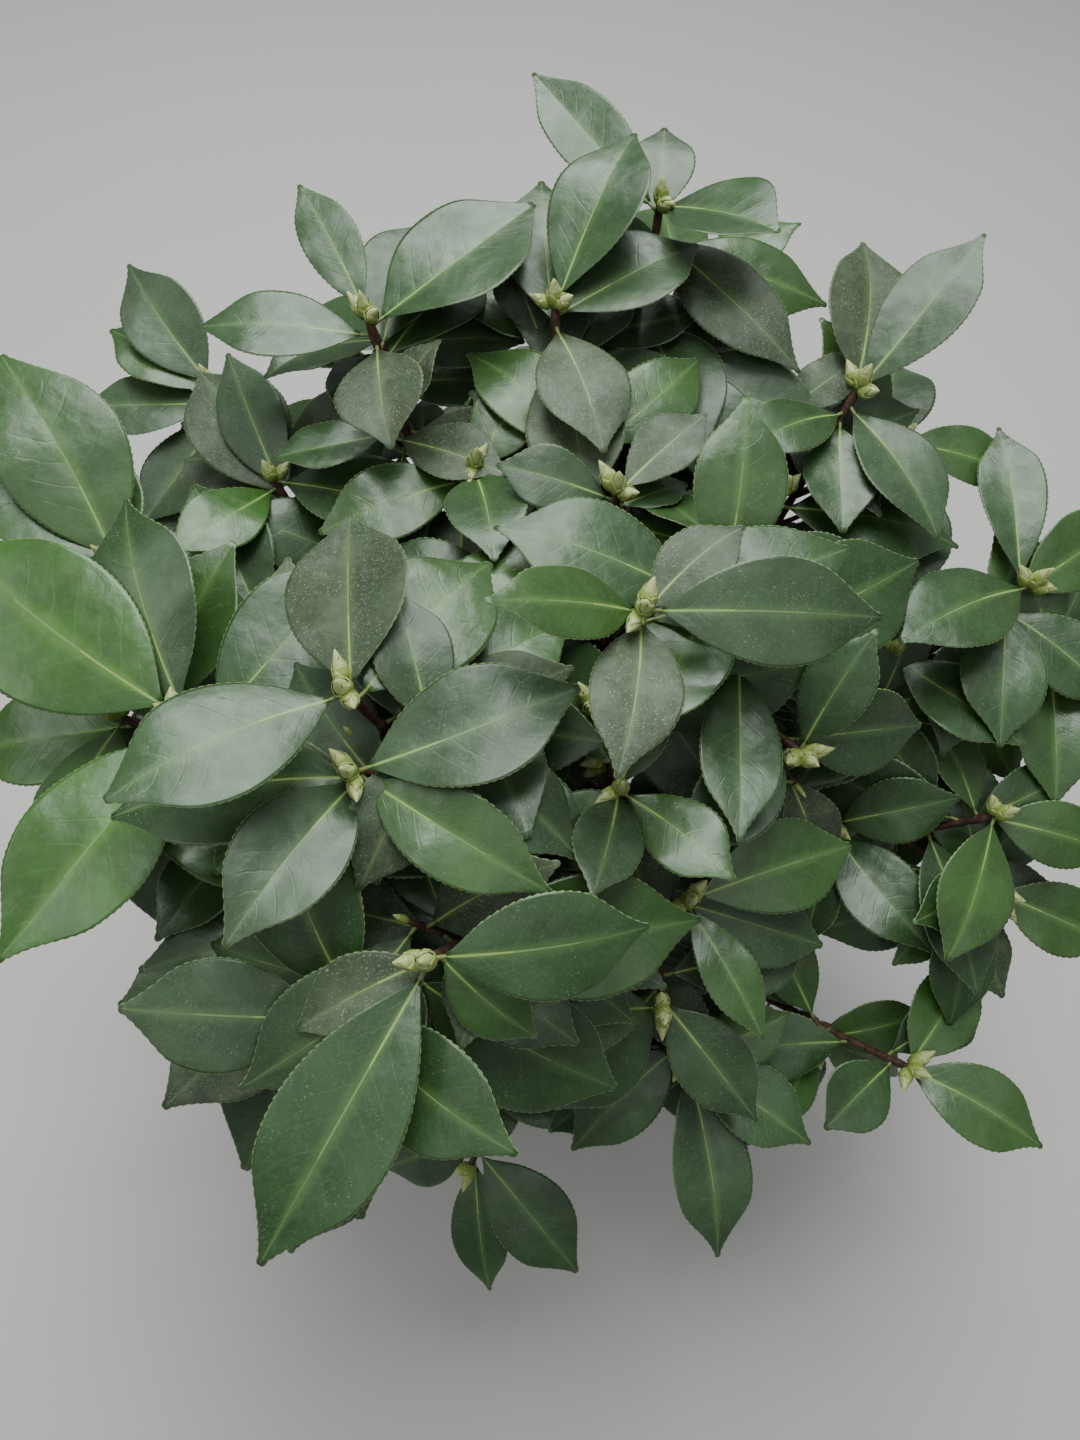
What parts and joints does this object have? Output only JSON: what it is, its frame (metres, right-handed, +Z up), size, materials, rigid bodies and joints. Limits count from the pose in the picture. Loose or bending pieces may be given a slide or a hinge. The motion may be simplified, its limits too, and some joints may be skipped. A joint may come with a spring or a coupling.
{
  "type": "camellia shrub in a nursery pot",
  "caption": "Evergreen camellia shrub with glossy toothed leaves and plump flower buds at its shoot tips, standing in a round dark plastic nursery pot filled with soil.",
  "frame": {"origin": "centre of the pot's flat underside", "axes": "+Z up along the pot's axis, the side that the picture shows towards -Y, +X to its right"},
  "size_m": [0.5939, 0.5468, 0.5381],
  "materials": {
    "pot": "satin",
    "soil": "matte",
    "bark": "matte",
    "leaves": "satin"
  },
  "bodies": {
    "root": {"bough_back": "bark", "bough_back_left": "bark", "bough_back_right": "bark", "bough_far_back": "bark", "bough_far_left": "bark", "bough_front": "bark", "bough_front_left_low": "bark", "bough_front_low": "bark", "bough_front_right": "bark", "bough_left": "bark", "bough_left_back": "bark", "bough_low_back": "bark", "bough_low_back_left": "bark", "bough_low_back_right": "bark", "bough_low_front": "bark", "bough_low_left": "bark", "bough_low_right": "bark", "bough_middle_back": "bark", "bough_middle_front": "bark", "bough_middle_right": "bark", "bough_right": "bark", "bough_right_low": "bark", "bough_top_left": "bark", "foliage_back": "leaves", "foliage_back_left": "leaves", "foliage_back_right": "leaves", "foliage_far_back": "leaves", "foliage_far_left": "leaves", "foliage_front": "leaves", "foliage_front_left_low": "leaves", "foliage_front_low": "leaves", "foliage_front_right": "leaves", "foliage_left": "leaves", "foliage_left_back": "leaves", "foliage_low_back": "leaves", "foliage_low_back_left": "leaves", "foliage_low_back_right": "leaves", "foliage_low_front": "leaves", "foliage_low_left": "leaves", "foliage_low_right": "leaves", "foliage_middle": "leaves", "foliage_middle_back": "leaves", "foliage_middle_front": "leaves", "foliage_middle_right": "leaves", "foliage_right": "leaves", "foliage_right_low": "leaves", "foliage_top_left": "leaves", "pot": "pot", "soil": "soil", "trunk": "bark"}
  },
  "joints": []
}
